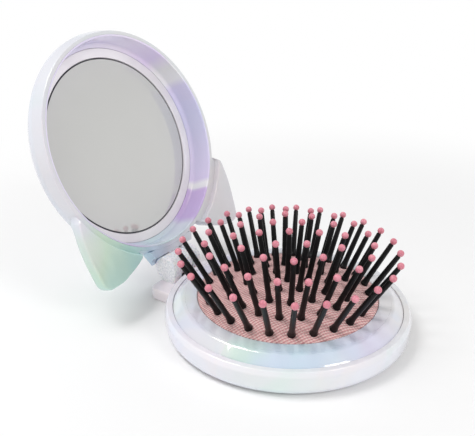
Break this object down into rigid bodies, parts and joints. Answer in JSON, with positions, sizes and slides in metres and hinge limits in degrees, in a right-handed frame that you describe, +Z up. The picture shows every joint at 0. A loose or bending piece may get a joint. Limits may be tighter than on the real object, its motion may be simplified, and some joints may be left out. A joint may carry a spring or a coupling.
{
  "type": "folding pocket hairbrush",
  "caption": "Round pearl compact that opens on a hinge: a mirror in the eared lid, and a pop-up cushion brush with ball-tipped bristles in the base.",
  "frame": {"origin": "centre of the base's flat underside", "axes": "+Z up, +Y towards the hinge, +X along the hinge, to the right when the mirror is faced"},
  "size_m": [0.08, 0.1259, 0.0879],
  "materials": {
    "pearl_shell": "gloss",
    "pearl_bezel": "gloss",
    "pearl_liner": "gloss",
    "mirror_surround": "gloss",
    "white_plastic": "satin",
    "frosted_plastic": "frosted",
    "steel": "satin",
    "nylon": "satin",
    "pink_rubber": "matt",
    "woven_cushion": "matt woven face",
    "mirror": "polished",
    "foam": "matt",
    "black_bristle": "semi-gloss",
    "pink_tip": "semi-gloss"
  },
  "bodies": {
    "base": {"base_shell": "pearl_shell", "base_bezel": "pearl_bezel", "hinge_bracket": "frosted_plastic", "hinge_bracket_screws": "steel", "hinge_pin": "steel", "hinge_washers": "nylon", "cushion_skirt": "pink_rubber"},
    "head": {"head_ring": "pearl_bezel", "head_clamp_ring": "white_plastic", "cushion": "woven_cushion", "bristles_outer": "black_bristle", "ball_tips_outer": "pink_tip"},
    "lid": {"lid_shell": "pearl_shell", "lid_liner": "pearl_liner", "mirror_bezel": "mirror_surround", "mirror_glass": "mirror", "mirror_pad": "foam"},
    "second_ring": {"bristles_second": "black_bristle", "ball_tips_second": "pink_tip"},
    "third_ring": {"bristles_third": "black_bristle", "ball_tips_third": "pink_tip"},
    "inner_ring": {"bristles_inner": "black_bristle", "ball_tips_inner": "pink_tip"},
    "centre_ring": {"bristles_centre": "black_bristle", "ball_tips_centre": "pink_tip"}
  },
  "joints": [
    {"name": "lid_hinge", "type": "hinge", "parent": "base", "child": "lid", "pos_m": [0, 0.0459, 0.00896], "axis": [-1, 0, 0], "range_deg": [-111.8, 0]},
    {"name": "head_slide", "type": "slide", "parent": "base", "child": "head", "axis": [0, 0, 1], "range_m": [-0.01141, 0], "deforming": ["cushion_skirt"]},
    {"name": "second_ring_slide", "type": "slide", "parent": "head", "child": "second_ring", "axis": [0, 0, 1], "range_m": [-0.00176, 0]},
    {"name": "third_ring_slide", "type": "slide", "parent": "head", "child": "third_ring", "axis": [0, 0, 1], "range_m": [-0.00381, 0]},
    {"name": "inner_ring_slide", "type": "slide", "parent": "head", "child": "inner_ring", "axis": [0, 0, 1], "range_m": [-0.00486, 0]},
    {"name": "centre_ring_slide", "type": "slide", "parent": "head", "child": "centre_ring", "axis": [0, 0, 1], "range_m": [-0.00536, 0], "deforming": ["cushion"]}
  ],
  "couplings": [
    {"joint": "head_slide", "follows": "lid_hinge", "m_per_rad": 0.0058423},
    {"joint": "second_ring_slide", "follows": "lid_hinge", "m_per_rad": 0.00089685},
    {"joint": "third_ring_slide", "follows": "lid_hinge", "m_per_rad": 0.0019474},
    {"joint": "inner_ring_slide", "follows": "lid_hinge", "m_per_rad": 0.0024855},
    {"joint": "centre_ring_slide", "follows": "lid_hinge", "m_per_rad": 0.0027418}
  ]
}
